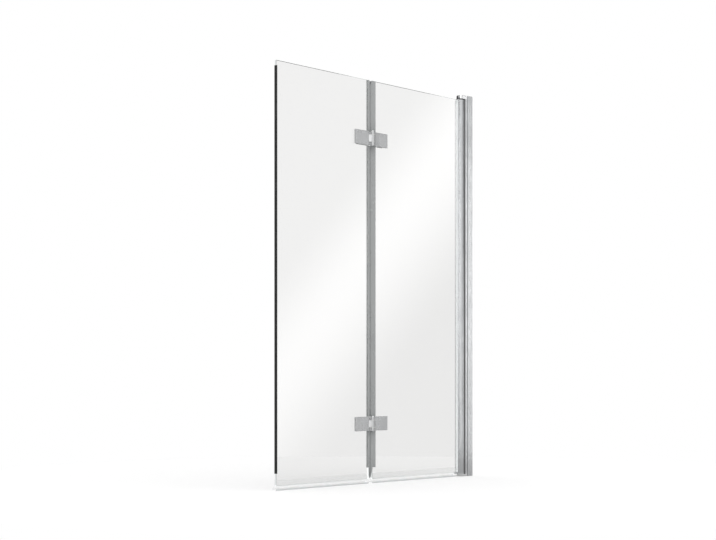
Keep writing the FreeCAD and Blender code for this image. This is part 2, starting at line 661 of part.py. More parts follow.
def make_edge_seals(side):
    """Three lengths of clear edge seal between the hinges, mitred at the top and the foot."""
    edge = cell("edge_setback")
    wall = cell("seal_wall")
    skin = f"({HALF_GLASS} + {wall})"
    mouth = from_fold(side, f"{edge} + {cell('seal_grip')}")
    glass_edge = from_fold(side, edge)
    nose = from_fold(side, cell("seal_play"))
    hollow_end = from_fold(side, f"{cell('seal_play')} + {wall}")
    hollow_start = from_fold(side, f"{edge} - {wall}")
    half_hinge = f"({cell('hinge_height')} / 2 + {cell('seal_end_gap')})"
    lengths = {
        "low": (cell("seal_tip"), f"({HINGES['lower']} - {half_hinge})"),
        "middle": (f"({HINGES['lower']} + {half_hinge})", f"({HINGES['upper']} - {half_hinge})"),
        "high": (f"({HINGES['upper']} + {half_hinge})", GLASS_HIGH),
    }
    for name, (low, high) in lengths.items():
        label = f"{side}_edge_seal_{name}"
        body = profile(label, [
            (mouth, f"-{skin}"), (nose, f"-{skin}"), (nose, skin), (mouth, skin), (mouth, HALF_GLASS),
            (glass_edge, HALF_GLASS), (glass_edge, f"-{HALF_GLASS}"), (mouth, f"-{HALF_GLASS}"),
        ], low, high)
        hollow = new_sketch(body, f"{label}_hollow", "XY_Plane")
        polygon(hollow, rectangle(hollow_start, hollow_end, HALF_GLASS))
        pocket(body, hollow, f"({high}) - ({low})", backwards=True)
        if name == "middle":
            continue
        mitre = new_sketch(body, f"{label}_mitre", "XZ_Plane")
        if name == "low":
            rise = f"({cell('seal_foot')} - {low})"
            polygon(mitre, [(nose, "0"), (glass_edge, rise), (mouth, rise), (mouth, "0")])
        else:
            top = f"({high} - {low})"
            shoulder = from_fold(side, cell("notch_half"))
            polygon(mitre, [(FOLD_X, f"{top} - {cell('notch_depth')}"), (shoulder, top), (FOLD_X, top)])
        pocket(body, mitre, f"{skin} * 3", both=True)


def make_bottom_seal(side):
    """The clip along the foot of a pane, with a lip down to the rim and a fin behind."""
    near = from_fold(side, cell("edge_setback"))
    ends = (FREE_X, near) if side == "outer" else (near, f"({MOUTH_X} - {cell('drip_room')})")
    wall = cell("drip_wall")
    skin = f"({HALF_GLASS} + {wall})"
    top = f"({GLASS_LOW} + {cell('drip_grip')})"
    web = f"({GLASS_LOW} - {wall})"
    floor = f"({web} - {wall})"
    fin = f"({skin} + {cell('drip_fin')})"
    fin_tip = cell("drip_fin_rise")
    lip = f"({wall} - {HALF_GLASS})"
    body = doc.addObject("PartDesign::Body", f"{side}_bottom_seal")
    section = new_sketch(body, f"{side}_seal_section", "YZ_Plane")
    polygon(section, [
        (f"-{skin}", top), (f"-{HALF_GLASS}", top), (f"-{HALF_GLASS}", GLASS_LOW),
        (HALF_GLASS, GLASS_LOW), (HALF_GLASS, top), (skin, top), (skin, web),
        (fin, f"({fin_tip} + {wall})"), (fin, fin_tip), (f"({skin} - {wall})", floor),
        (lip, floor), (f"({lip} + {wall})", "0"), (lip, "0"), (f"-{skin}", web),
    ])
    pad(body, section, f"({ends[1]}) - ({ends[0]})")
    place(body, x=ends[0])


# ---------------------------------------------------------------- hinges

def make_plate(label, side, middle, reach, back, thickness, towards):
    """A bevelled plate of a hinge, on the front (-1) or the back (+1) of the glass."""
    body = doc.addObject("PartDesign::Body", label)
    sketch = new_sketch(body, f"{label}_outline", "XZ_Plane")
    near = from_fold(side, cell("leaf_gap"))
    far = from_fold(side, cell(reach))
    half = f"({cell('hinge_height')} / 2)"
    polygon(sketch, [(near, f"-{half}"), (far, f"-{half}"), (far, half), (near, half)])
    feature = pad(body, sketch, thickness)
    feature.Reversed = towards > 0
    bevel_faces(body, [Vector(0, towards, 0)], cell("leaf_bevel"))
    return place(body, y=f"{towards} * {back}", z=middle)


def knuckle_spans(side, middle):
    """The heights of one leaf's knuckles: the outer leaf has the middle one, the inner leaf the others."""
    half = f"({cell('middle_knuckle')} / 2)"
    gap = f"({cell('washer_thickness')} + 2 * {cell('washer_play')})"
    end = f"({cell('hinge_height')} / 2)"
    if side == "outer":
        return [(f"({middle} - {half})", f"({middle} + {half})")]
    return [
        (f"({middle} - {end})", f"({middle} - {half} - {gap})"),
        (f"({middle} + {half} + {gap})", f"({middle} + {end})"),
    ]


def make_knuckle(label, side, span):
    """One knuckle and the arm that joins it to its plate."""
    low, high = span
    gap = cell("leaf_gap")
    radius = cell("knuckle_radius")
    touch_y = f"({FOLD_Y} - {radius} * sin({cell('arm_angle')}))"
    touch_x = from_fold(side, f"{radius} * cos({cell('arm_angle')})")
    root_x = from_fold(side, f"{gap} + {cell('leaf_thickness')}")
    arm = profile(f"{label}_arm", [
        (from_fold(side, gap), f"-{LEAF_BACK}"), (FOLD_X, f"({FOLD_Y} + {radius})"), (FOLD_X, touch_y),
        (touch_x, touch_y), (root_x, f"-{LEAF_FRONT}"), (root_x, f"-{LEAF_BACK}"),
    ], low, high)
    barrel = rod(f"{label}_barrel", radius, (FOLD_X, FOLD_Y, low), f"{high} - {low}")
    return [arm, barrel]


def make_leaf(side, name, middle):
    """A hinge leaf: front plate, knuckles, pin hole and tapped holes from behind."""
    label = f"{name}_{side}_leaf"
    pieces = [make_plate(f"{label}_plate", side, middle, "hinge_reach", LEAF_BACK,
                         cell("leaf_thickness"), -1)]
    for index, span in enumerate(knuckle_spans(side, middle)):
        pieces += make_knuckle(f"{label}_knuckle_{index}", side, span)
    blank = fuse(f"{label}_blank", *pieces)
    bore = cell("hinge_pin_radius")
    if side == "outer":
        bore = f"({bore} + {cell('pin_fit')} + {cell('knuckle_bush_wall')})"
    half = f"({cell('hinge_height')} / 2)"
    tools = [rod(f"{label}_bore", bore, (FOLD_X, FOLD_Y, f"({middle} - {half})"), cell("hinge_height"))]
    depth = f"({cell('leaf_thickness')} - {cell('screw_tip')})"
    for step in range(2):
        x = from_fold(side, f"{cell('screw_inset')} + {step} * {cell('screw_pitch')}")
        start = (x, f"-({LEAF_BACK} + {depth})", middle)
        tools.append(rod(f"{label}_tapping_{step}", cell("screw_radius"), start, depth, "y"))
    cut(label, blank, *tools)


def make_clamp(side, name, middle):
    """The plate behind the glass, countersunk for two screws."""
    label = f"{name}_{side}_clamp"
    blank = make_plate(f"{label}_plate", side, middle, "clamp_reach", LEAF_BACK, cell("clamp_thickness"), 1)
    head_start = f"({LEAF_BACK} + {cell('clamp_thickness')} - {cell('screw_head_height')})"
    tools = []
    for step in range(2):
        x = from_fold(side, f"{cell('screw_inset')} + {step} * {cell('screw_pitch')}")
        tools.append(rod(f"{label}_hole_{step}", cell("screw_radius"), (x, LEAF_BACK, middle),
                         cell("clamp_thickness"), "y"))
        tools.append(taper(f"{label}_sink_{step}", cell("screw_radius"), cell("screw_head_radius"),
                                 (x, head_start, middle), cell("screw_head_height")))
    cut(label, blank, fuse(f"{label}_tools", *tools))


def make_clamping(side):
    """Rubber pads, hole sleeves and screws of both hinges on one pane."""
    pads, sleeves, screws = [], [], []
    near = from_fold(side, cell("leaf_gap"))
    half = f"({cell('hinge_height')} / 2)"
    faces = {
        "front": ("hinge_reach", (f"-{LEAF_BACK}", f"-{HALF_GLASS}")),
        "back": ("clamp_reach", (HALF_GLASS, LEAF_BACK)),
    }
    for name, middle in HINGES.items():
        heights = (f"({middle} - {half})", f"({middle} + {half})")
        for face, (reach, depths) in faces.items():
            far = from_fold(side, cell(reach))
            ends = (far, near) if side == "outer" else (near, far)
            label = f"{name}_{side}_{face}_pad"
            holes = []
            for step in range(2):
                x = from_fold(side, f"{cell('screw_inset')} + {step} * {cell('screw_pitch')}")
                start, depth = (x, depths[0], middle), cell("pad_thickness")
                holes.append(rod(f"{label}_hole_{step}", cell("screw_radius"), start, depth, "y"))
            pads.append(cut(label, box(f"{label}_blank", ends, depths, heights), *holes))
    bore = f"({cell('screw_radius')} + {cell('slot_play')})"
    for index, (x, z) in enumerate(screw_places(side)):
        start = (x, f"-{HALF_GLASS}", z)
        tube = rod(f"{side}_sleeve_tube_{index}", HOLE_RADIUS, start, cell("glass_thickness"), "y")
        hole = rod(f"{side}_sleeve_hole_{index}", bore, start, cell("glass_thickness"), "y")
        sleeves.append(cut(f"{side}_sleeve_{index}", tube, hole))
        tip = f"(-({LEAF_FRONT} - {cell('screw_tip')}))"
        head_end = f"({LEAF_BACK} + {cell('clamp_thickness')})"
        head_start = f"({head_end} - {cell('screw_head_height')})"
        shank = rod(f"{side}_shank_{index}", cell("screw_radius"), (x, tip, z), f"{head_start} - {tip}", "y")
        head = taper(f"{side}_head_{index}", cell("screw_radius"), cell("screw_head_radius"),
                           (x, head_start, z), cell("screw_head_height"))
        socket = doc.addObject("Part::Prism", f"{side}_socket_{index}")
        socket.Polygon = 6
        socket.Placement.Rotation = TO_BACK
        bind(socket, Circumradius=cell("socket_radius"), Height=cell("socket_depth"))
        place(socket, x, f"{head_end} - {cell('socket_depth')}", z)
        screws.append(cut(f"{side}_screw_{index}", fuse(f"{side}_screw_blank_{index}", shank, head), socket))
    group(f"{side}_leaf_pads", pads)
    group(f"{side}_hole_sleeves", sleeves)
    group(f"{side}_clamp_screws", screws)


def make_hinge_pins():
    """Pins fixed in the inner leaves, their button caps, and the nylon bushes and washers round them."""
    half = f"({cell('hinge_height')} / 2)"
    half_middle = f"({cell('middle_knuckle')} / 2)"
    running = f"({cell('hinge_pin_radius')} + {cell('pin_fit')})"
    bush_radius = f"({running} + {cell('knuckle_bush_wall')})"
    caps, bushes, washers = [], [], []
    for name, middle in HINGES.items():
        rod(f"{name}_hinge_pin", cell("hinge_pin_radius"), (FOLD_X, FOLD_Y, f"({middle} - {half})"),
            cell("hinge_height"))
        face = f"({cell('pin_cap_radius')} - {cell('pin_cap_slope')})"
        low_face = f"({middle} - {half} - {cell('pin_cap_height')})"
        for end, start, radii in (
            ("high", f"({middle} + {half})", (cell("pin_cap_radius"), face)),
            ("low", low_face, (face, cell("pin_cap_radius"))),
        ):
            button = doc.addObject("Part::Cone", f"{name}_pin_cap_{end}")
            bind(button, Radius1=radii[0], Radius2=radii[1], Height=cell("pin_cap_height"))
            caps.append(place(button, FOLD_X, FOLD_Y, start))
        start = (FOLD_X, FOLD_Y, f"({middle} - {half_middle})")
        tube = rod(f"{name}_bush_tube", bush_radius, start, cell("middle_knuckle"))
        hole = rod(f"{name}_bush_bore", running, start, cell("middle_knuckle"))
        bushes.append(cut(f"{name}_knuckle_bush", tube, hole))
        for end, low in (
            ("low", f"({middle} - {half_middle} - {cell('washer_play')} - {cell('washer_thickness')})"),
            ("high", f"({middle} + {half_middle} + {cell('washer_play')})"),
        ):
            start, thickness = (FOLD_X, FOLD_Y, low), cell("washer_thickness")
            disc = rod(f"{name}_{end}_disc", cell("knuckle_radius"), start, thickness)
            hole = rod(f"{name}_{end}_disc_hole", cell("hinge_pin_radius"), start, thickness)
            washers.append(cut(f"{name}_{end}_washer", disc, hole))
    group("hinge_pin_caps", caps)
    group("knuckle_bushes", bushes)
    group("knuckle_washers", washers)


# ---------------------------------------------------------------- the whole screen

make_wall_channel()
make_locking_screws()
make_expander()
make_wipers()
make_brackets()
make_pivot_profile()
for pane_side in SIDES:
    make_pane(pane_side)
    make_edge_seals(pane_side)
    make_bottom_seal(pane_side)
    make_clamping(pane_side)
    for hinge_name, hinge_middle in HINGES.items():
        make_leaf(pane_side, hinge_name, hinge_middle)
        make_clamp(pane_side, hinge_name, hinge_middle)
make_hinge_pins()
make_edge_strip()

NODES = [
    "wall_channel", "locking_screws", "locking_nuts", "screw_covers",
    "expander_profile", "wiper_front", "wiper_back", "head_bracket", "foot_bracket",
    "head_pivot_pin", "foot_pivot_pin", "bracket_screws",
    "pivot_profile", "head_pivot_cap", "foot_pivot_cap", "head_pivot_bush", "foot_pivot_bush",
    "glazing_gasket_front", "glazing_gasket_back", "glass_packers",
    "upper_hinge_pin", "lower_hinge_pin", "hinge_pin_caps", "knuckle_bushes", "knuckle_washers",
    "free_edge_strip",
]
for pane_side in SIDES:
    NODES += [f"{pane_side}_{piece}" for piece in (
        "glass", "edge_seal_low", "edge_seal_middle", "edge_seal_high", "bottom_seal",
        "leaf_pads", "hole_sleeves", "clamp_screws",
    )]
    NODES += [f"{name}_{pane_side}_{piece}" for name in HINGES for piece in ("leaf", "clamp")]

doc.recompute()
for thing in doc.Objects:
    if "Invalid" in thing.State or "Error" in thing.State:
        raise RuntimeError(f"{thing.Label} failed: {thing.State}")

os.makedirs("parts", exist_ok=True)
for node in NODES:
    shape = doc.getObject(node).Shape
    if shape.isNull() or not shape.isValid():
        raise RuntimeError(f"{node} has no valid shape")
    shape.exportStep(f"parts/{node}.step")
    print(f"{node}: {len(shape.Solids)} solid(s), {shape.Volume / 1000:.2f} cm3")
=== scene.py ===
# %% [markdown]
# # A folding bath screen, dressed on its CAD frame
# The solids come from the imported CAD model: profiles, glass, hinges and screws, each in its place.
# This lesson gives them their finishes and adds the soft parts: seals, gaskets and wiper lips.
# The CAD pieces are never moved, because the joints are measured from where they are.

# %% Load the frame
import json
import math
import bpy
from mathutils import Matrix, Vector

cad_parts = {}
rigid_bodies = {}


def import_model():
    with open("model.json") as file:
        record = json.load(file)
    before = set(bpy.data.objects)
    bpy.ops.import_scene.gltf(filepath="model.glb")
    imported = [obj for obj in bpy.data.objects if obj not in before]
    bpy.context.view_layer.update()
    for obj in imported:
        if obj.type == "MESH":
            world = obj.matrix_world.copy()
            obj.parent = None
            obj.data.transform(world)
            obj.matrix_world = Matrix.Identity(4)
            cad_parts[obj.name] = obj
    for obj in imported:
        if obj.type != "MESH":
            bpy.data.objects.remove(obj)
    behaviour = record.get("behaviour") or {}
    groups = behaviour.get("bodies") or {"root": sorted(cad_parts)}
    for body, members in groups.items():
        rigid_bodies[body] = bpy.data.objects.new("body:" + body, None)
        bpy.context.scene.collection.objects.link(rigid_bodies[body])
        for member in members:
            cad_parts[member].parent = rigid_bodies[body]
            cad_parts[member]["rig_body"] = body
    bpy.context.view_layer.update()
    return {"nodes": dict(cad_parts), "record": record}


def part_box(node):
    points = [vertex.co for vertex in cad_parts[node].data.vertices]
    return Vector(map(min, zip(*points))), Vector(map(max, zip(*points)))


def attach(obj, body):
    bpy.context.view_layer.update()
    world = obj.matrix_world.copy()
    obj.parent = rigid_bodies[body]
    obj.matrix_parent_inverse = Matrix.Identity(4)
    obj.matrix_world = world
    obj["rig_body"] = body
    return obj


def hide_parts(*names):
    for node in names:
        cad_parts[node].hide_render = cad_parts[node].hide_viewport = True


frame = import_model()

nodes = frame["nodes"]
slot_of = {part["node"]: part["material_slot"] for part in frame["record"]["subparts"]}

# %% [markdown]
# ## The camera
# All uprights stay upright in the picture, so the camera is level and its frame is shifted up, as
# an architect's camera does. The distance and the lens come from how fast the top and bottom
# edges of the glass run together.

# %% Camera
PICTURE_WIDTH = 716
FOCAL_PIXELS = 1470.5
SENSOR = 36
HORIZON_BELOW_MIDDLE = 105.8
VIEW_TURN = math.radians(-47.37)
CAMERA_PLACE = (-4.286, -3.385, 0.369)
bpy.ops.object.camera_add(location=CAMERA_PLACE, rotation=(math.radians(90), 0, VIEW_TURN))
camera = bpy.context.object
camera.data.sensor_width = SENSOR
camera.data.lens = FOCAL_PIXELS / PICTURE_WIDTH * SENSOR
camera.data.shift_y = HORIZON_BELOW_MIDDLE / PICTURE_WIDTH
bpy.context.scene.camera = camera
bpy.context.scene.view_settings.view_transform = "Standard"
print("lens", round(camera.data.lens, 1), "mm")

# %% [markdown]
# ## Small helpers for nodes
# Every finish below is a few nodes wired together, so a few short helpers keep the cells readable.

# %% Node helpers
def new_node(tree, kind, **settings):
    """Adds a node, and sets what belongs to the node itself rather than to its sockets."""
    node = tree.nodes.new(kind)
    for name, value in settings.items():
        setattr(node, name, value)
    return node


def feed(tree, socket, value):
    """Wires an output to a socket, or sets the socket to a plain value."""
    if isinstance(value, bpy.types.NodeSocket):
        tree.links.new(value, socket)
    else:
        socket.default_value = value


def math_node(tree, operation, *values):
    node = new_node(tree, "ShaderNodeMath", operation=operation)
    for socket, value in zip(node.inputs, values):
        feed(tree, socket, value)
    return node.outputs[0]


def dot(tree, vector, direction):
    node = new_node(tree, "ShaderNodeVectorMath", operation="DOT_PRODUCT")
    feed(tree, node.inputs[0], vector)
    node.inputs[1].default_value = direction
    return node.outputs["Value"]


def ramp(tree, value, stops):
    """A smooth curve of grey values through the stops, which are (place, grey)."""
    node = new_node(tree, "ShaderNodeValToRGB")
    node.color_ramp.interpolation = "EASE"
    elements = node.color_ramp.elements
    while len(elements) < len(stops):
        elements.new(0.5)
    for element, (position, grey) in zip(elements, stops):
        element.position = position
        element.color = (grey, grey, grey, 1)
    feed(tree, node.inputs[0], value)
    return node.outputs["Color"]


def map_range(tree, value, low, high, to_low=0.0, to_high=1.0, kind="SMOOTHSTEP"):
    node = new_node(tree, "ShaderNodeMapRange", interpolation_type=kind)
    for socket, number in zip(node.inputs, (value, low, high, to_low, to_high)):
        feed(tree, socket, number)
    return node.outputs[0]


print("helpers ready")

# %% One look for the eye and another for mirrors
def for_mirrors(tree, seen, mirrored):
    """Glossy rays, which are what mirrors see, find the second shader. Others find the first."""
    mix = new_node(tree, "ShaderNodeMixShader")
    path = new_node(tree, "ShaderNodeLightPath").outputs
    in_mirror = math_node(tree, "GREATER_THAN", path["Is Glossy Ray"], path["Is Transmission Ray"])
    feed(tree, mix.inputs[0], in_mirror)
    feed(tree, mix.inputs[1], seen)
    feed(tree, mix.inputs[2], mirrored)
    return mix.outputs[0]


print("mirror switch ready")

# %% [markdown]
# ## The studio
# Glass and chrome show hardly anything but their surroundings, so the surroundings are the real
# work. What the camera sees directly is plain white. What mirrors see is a studio with a white
# ceiling. Ahead of the glass is a slanting strip softbox, with grey card on one side of it and
# black card on the other. Upright cards stand all around, and draw the long light and dark lines
# on the profiles.

# %% Upright cards and the light overhead
OVERHEAD_RISE = (0.35, 0.8)
CARD_GLOW = 1.9
world = bpy.data.worlds.new("studio")
bpy.context.scene.world = world
world.use_nodes = True
tree = world.node_tree
tree.nodes.clear()
direction = new_node(tree, "ShaderNodeTexCoord").outputs["Generated"]
parts = new_node(tree, "ShaderNodeSeparateXYZ")
feed(tree, parts.inputs[0], direction)
turned = math_node(tree, "ARCTAN2", parts.outputs["Y"], parts.outputs["X"])
around = math_node(tree, "MULTIPLY_ADD", turned, 0.5 / math.pi, 0.5)
UPRIGHT_CARDS = [
    (-180, 0.55), (-158, 0.60), (-146, 1.3), (-138, 1.9), (-130, 1.9), (-122, 1.45), (-102, 1.35),
    (-86, 0.95), (-60, 0.66), (-38, 0.70), (-20, 0.70), (0, 0.66), (40, 0.55), (100, 0.55),
    (128, 0.35), (135, 0.25), (137, 0.45), (141, 0.95), (148, 1.00), (158, 0.50),
]
card_stops = [(degrees / 360 + 0.5, glow / CARD_GLOW) for degrees, glow in UPRIGHT_CARDS]
cards = ramp(tree, around, card_stops)
cards = math_node(tree, "MULTIPLY", cards, CARD_GLOW)
overhead = map_range(tree, parts.outputs["Z"], *OVERHEAD_RISE)
upper_and_sides = math_node(tree, "MAXIMUM", cards, overhead)
print("cards and overhead light ready")

# %% The slanting softbox ahead of the glass
SOFTBOX_GLOW = 3.8
SOFTBOX_SLANT = (-0.5713, -0.5550, 0.6046)
SOFTBOX_MIDDLE = Vector((0.740, -0.673, 0.068)).normalized()
SOFTBOX_HALF_WIDTH = 0.16
SOFTBOX_STOPS = [(0.0, 0.04), (0.29, 0.05), (0.5, 1.0), (0.64, 0.35), (1.0, 0.35)]
NEAR_GLASS = (0.961, 0.986)
PROFILE_CARD_EDGE = math.radians(-38.6)
across = dot(tree, direction, SOFTBOX_SLANT)
across = map_range(tree, across, -SOFTBOX_HALF_WIDTH, SOFTBOX_HALF_WIDTH, kind="LINEAR")
softbox = ramp(tree, across, SOFTBOX_STOPS)
softbox = math_node(tree, "MULTIPLY", softbox, SOFTBOX_GLOW)
near_glass = map_range(tree, dot(tree, direction, SOFTBOX_MIDDLE), *NEAR_GLASS)
before_card = math_node(tree, "LESS_THAN", turned, PROFILE_CARD_EDGE)
near_glass = math_node(tree, "MULTIPLY", near_glass, before_card)
studio = new_node(tree, "ShaderNodeMix", data_type="FLOAT")
feed(tree, studio.inputs["Factor"], near_glass)
feed(tree, studio.inputs["A"], upper_and_sides)
feed(tree, studio.inputs["B"], softbox)
print("softbox ready")

# %% A brighter foot to the card beside it
PROFILE_CARD_END = math.radians(-20)
CARD_FOOT, CARD_TOP = 0.03, 0.09
FOOT_LIFT, TOP_LIFT = 2.2, 0.45
lift = map_range(tree, parts.outputs["Z"], CARD_FOOT, CARD_TOP, FOOT_LIFT, TOP_LIFT)
past_edge = math_node(tree, "GREATER_THAN", turned, PROFILE_CARD_EDGE)
before_end = math_node(tree, "LESS_THAN", turned, PROFILE_CARD_END)
on_card = math_node(tree, "MULTIPLY", past_edge, before_end)
lift = math_node(tree, "MULTIPLY_ADD", math_node(tree, "SUBTRACT", lift, 1.0), on_card, 1.0)
glow = math_node(tree, "MULTIPLY", studio.outputs["Result"], lift)
print("card foot ready")

# %% White for the eye, the studio for mirrors
seen = new_node(tree, "ShaderNodeBackground")
mirrored = new_node(tree, "ShaderNodeBackground")
feed(tree, seen.inputs["Color"], (1, 1, 1, 1))
feed(tree, mirrored.inputs["Strength"], glow)
surroundings = for_mirrors(tree, seen.outputs[0], mirrored.outputs[0])
feed(tree, new_node(tree, "ShaderNodeOutputWorld").inputs[0], surroundings)
print("surroundings ready")

# %% [markdown]
# ## Floor and lamp
# A pale disc under the screen catches a very soft shadow. It glows a little, so that it runs into
# the white around it without an edge, and mirrors see a grey carpet in its place. One large lamp
# overhead is the only lamp.

# %% Floor
def blank_material(name):
    """A new material with its Principled shader, to be filled in."""
    material = bpy.data.materials.new(name)
    material.use_nodes = True
    return material, material.node_tree, material.node_tree.nodes["Principled BSDF"]


FLOOR_RADIUS = 1.7
FLOOR_MIDDLE = (-0.5, 0, -0.0006)
FLOOR_GREY = 0.45
FLOOR_GLOW = 0.53
CARPET_GREY = 0.5
bpy.ops.object.select_all(action="DESELECT")
bpy.ops.mesh.primitive_circle_add(
    vertices=96, radius=FLOOR_RADIUS, fill_type="NGON", location=FLOOR_MIDDLE)
floor = bpy.context.object
floor.name = "floor"
material, tree, shader = blank_material("pale_floor")
feed(tree, shader.inputs["Base Color"], (FLOOR_GREY, FLOOR_GREY, FLOOR_GREY, 1))
feed(tree, shader.inputs["Emission Color"], (1, 1, 1, 1))
feed(tree, shader.inputs["Emission Strength"], FLOOR_GLOW)
feed(tree, shader.inputs["Roughness"], 0.9)
feed(tree, shader.inputs["Specular IOR Level"], 0.0)
carpet = new_node(tree, "ShaderNodeBsdfDiffuse")
feed(tree, carpet.inputs["Color"], (CARPET_GREY, CARPET_GREY, CARPET_GREY, 1))
surface = for_mirrors(tree, shader.outputs[0], carpet.outputs[0])
feed(tree, tree.nodes["Material Output"].inputs["Surface"], surface)
floor.data.materials.append(material)
print("floor ready")

# %% Lamp
LAMP_PLACE = (-1.0, -1.2, 3.4)
LAMP_AIM = Vector((-0.5, 0, 0.6))
LAMP_SIZE = 2.4
LAMP_WATTS = 22
bpy.ops.object.light_add(type="AREA", location=LAMP_PLACE)
lamp = bpy.context.object
lamp.rotation_euler = (LAMP_AIM - lamp.location).to_track_quat("-Z", "Y").to_euler()
lamp.data.size = LAMP_SIZE
lamp.data.energy = LAMP_WATTS
print("lamp ready")

# %% [markdown]
# ## Surface effects as node groups
# Extruded metal and plastic carry fine lines along their length, every handled surface has faint
# smudges, and moulded parts have a fine grain. Each effect is one group, used by several finishes.

# %% A new node group
def open_group(name, **outputs):
    """An empty node group with outputs of the given kinds, and the node that collects them."""
    group = bpy.data.node_groups.new(name, "ShaderNodeTree")
    for socket, kind in outputs.items():
        group.interface.new_socket(socket, in_out="OUTPUT", socket_type="NodeSocket" + kind)
    return group, group.nodes.new("NodeGroupOutput")


print("group helper ready")

# %% Groups for lines, smudges and grain
def surface_group(name, stretch, scale, detail, contrast):
    """A group that puts out a soft pattern between 0 and 1, on Object coordinates."""
    group, end = open_group(name, Mask="Float")
    scale_input = group.interface.new_socket("Scale", in_out="INPUT", socket_type="NodeSocketFloat")
    scale_input.default_value = scale
    start = group.nodes.new("NodeGroupInput")
    place = new_node(group, "ShaderNodeMapping")
    feed(group, place.inputs["Vector"], new_node(group, "ShaderNodeTexCoord").outputs["Object"])
    place.inputs["Scale"].default_value = stretch
    noise = new_node(group, "ShaderNodeTexNoise")
    feed(group, noise.inputs["Vector"], place.outputs[0])
    feed(group, noise.inputs["Scale"], start.outputs["Scale"])
    feed(group, noise.inputs["Detail"], detail)
    low, high = contrast
    feed(group, end.inputs["Mask"], map_range(group, noise.outputs["Fac"], low, high))
    return group


GROUPS = {
    "lines_upright": surface_group("lines_upright", (1, 1, 0.004), 1600, 3, (0.3, 0.7)),
    "lines_level": surface_group("lines_level", (0.004, 1, 1), 1600, 3, (0.3, 0.7)),
    "smudges": surface_group("smudges", (1, 1, 0.7), 18, 5, (0.42, 0.68)),
    "grain": surface_group("grain", (1, 1, 1), 2600, 2, (0.35, 0.65)),
}
print(len(GROUPS), "effects")

# %% A finish from its groups
LINE_DEPTH = 0.0001


def mask_from(tree, group):
    """The mask that an effect's group puts out."""
    return new_node(tree, "ShaderNodeGroup", node_tree=group).outputs["Mask"]


def two_colours(tree, mask, first, second):
    mix = new_node(tree, "ShaderNodeMix", data_type="RGBA")
    feed(tree, mix.inputs["Factor"], mask)
    feed(tree, mix.inputs[6], (*first, 1))
    feed(tree, mix.inputs[7], (*second, 1))
    return mix.outputs[2]


def make_finish(name, colours, roughness, lines, bump, plain):
    """Two near colours and a range of roughness, both by smudges, and fine lines as bump.

    A finish with no colours here gets its colour in a cell of its own.
    """
    material, tree, shader = blank_material(name)
    smudges = mask_from(tree, GROUPS["smudges"])
    if colours:
        feed(tree, shader.inputs["Base Color"], two_colours(tree, smudges, *colours))
    feed(tree, shader.inputs["Roughness"], map_range(tree, smudges, 0, 1, *roughness))
    height = new_node(tree, "ShaderNodeBump")
    height.inputs["Distance"].default_value = LINE_DEPTH
    height.inputs["Strength"].default_value = bump
    feed(tree, height.inputs["Height"], mask_from(tree, GROUPS[lines]))
    feed(tree, shader.inputs["Normal"], height.outputs[0])
    for socket, value in plain.items():
        feed(tree, shader.inputs[socket], value)
    return material


METAL = {"Metallic": 1.0}
FINISH_ROWS = {
    "polished_aluminium": (
        ((0.65, 0.66, 0.67), (0.61, 0.62, 0.63)), (0.15, 0.22), "lines_upright", 0.25,
        METAL),
    # A darker copy of the polished aluminium, for the pivot profile: painted shade that dims its
    # reflections.
    "pivot_aluminium": (
        ((0.59, 0.60, 0.61), (0.55, 0.56, 0.57)), (0.11, 0.16), "lines_upright", 0.25,
        METAL),
    "bright_chrome": (
        ((0.90, 0.905, 0.91), (0.86, 0.865, 0.87)), (0.12, 0.20), "smudges", 0.05,
        METAL),
    "chrome": (None, (0.26, 0.32), "smudges", 0.05, METAL),
    "stainless": (
        ((0.62, 0.62, 0.61), (0.56, 0.56, 0.55)), (0.22, 0.34), "grain", 0.15,
        METAL),
    "silver_cover": (
        ((0.70, 0.71, 0.72), (0.66, 0.67, 0.68)), (0.16, 0.24), "smudges", 0.05,
        METAL),
    "dark_rubber": (
        ((0.17, 0.17, 0.17), (0.20, 0.20, 0.20)), (0.55, 0.75), "lines_upright", 0.4,
        {}),
    "black_strip": (
        ((0.018, 0.018, 0.018), (0.026, 0.026, 0.026)), (0.50, 0.65), "lines_upright", 0.2,
        {"Specular IOR Level": 0.25}),
    "black_nylon": (
        ((0.03, 0.03, 0.034), (0.042, 0.042, 0.046)), (0.38, 0.52), "grain", 0.3,
        {}),
    "white_nylon": (
        ((0.80, 0.80, 0.77), (0.74, 0.74, 0.71)), (0.40, 0.55), "grain", 0.25,
        {}),
    "clear_pad": (
        ((0.60, 0.63, 0.63), (0.54, 0.57, 0.57)), (0.40, 0.55), "grain", 0.25,
        {}),
    "clear_seal": (
        ((0.39, 0.40, 0.40), (0.36, 0.37, 0.37)), (0.24, 0.32), "lines_upright", 0.1,
        {"Transmission Weight": 0.2, "IOR": 1.4}),
    "clear_lip": (None, (0.15, 0.25), "lines_level", 0.1, {}),
    # The milky gasket glows a little: painted light that brightens it where it lies in shade against
    # the glass.
    "milky_gasket": (
        ((0.88, 0.90, 0.90), (0.84, 0.86, 0.86)), (0.35, 0.50), "lines_upright", 0.15,
        {"Emission Color": (0.88, 0.91, 0.91, 1), "Emission Strength": 0.4}),
}
FINISHES = {name: make_finish(name, *row) for name, row in FINISH_ROWS.items()}
print(len(FINISHES), "finishes")

# %% The lip is clear, and turns darker and less clear over its last few millimetres down to the rim
LIP_CLEAR_FROM, LIP_DIM_BELOW = 0.008, 0.003
LIP_ALPHA = (0.08, 0.55)
LIP_COLOURS = ((0.88, 0.90, 0.90), (0.55, 0.57, 0.57))


def place_of(group, axis):
    """How far along the axis a point lies, in the piece's own coordinates."""
    place = new_node(group, "ShaderNodeSeparateXYZ")
    feed(group, place.inputs[0], new_node(group, "ShaderNodeTexCoord").outputs["Object"])
    return place.outputs[axis]


def foot_group():
    """Puts out 1 where a strip touches the rim and 0 from a few millimetres up."""
    group, out = open_group("foot", Mask="Float")
    height = place_of(group, "Z")
    feed(group, out.inputs["Mask"], map_range(group, height, LIP_CLEAR_FROM, LIP_DIM_BELOW))
    return group


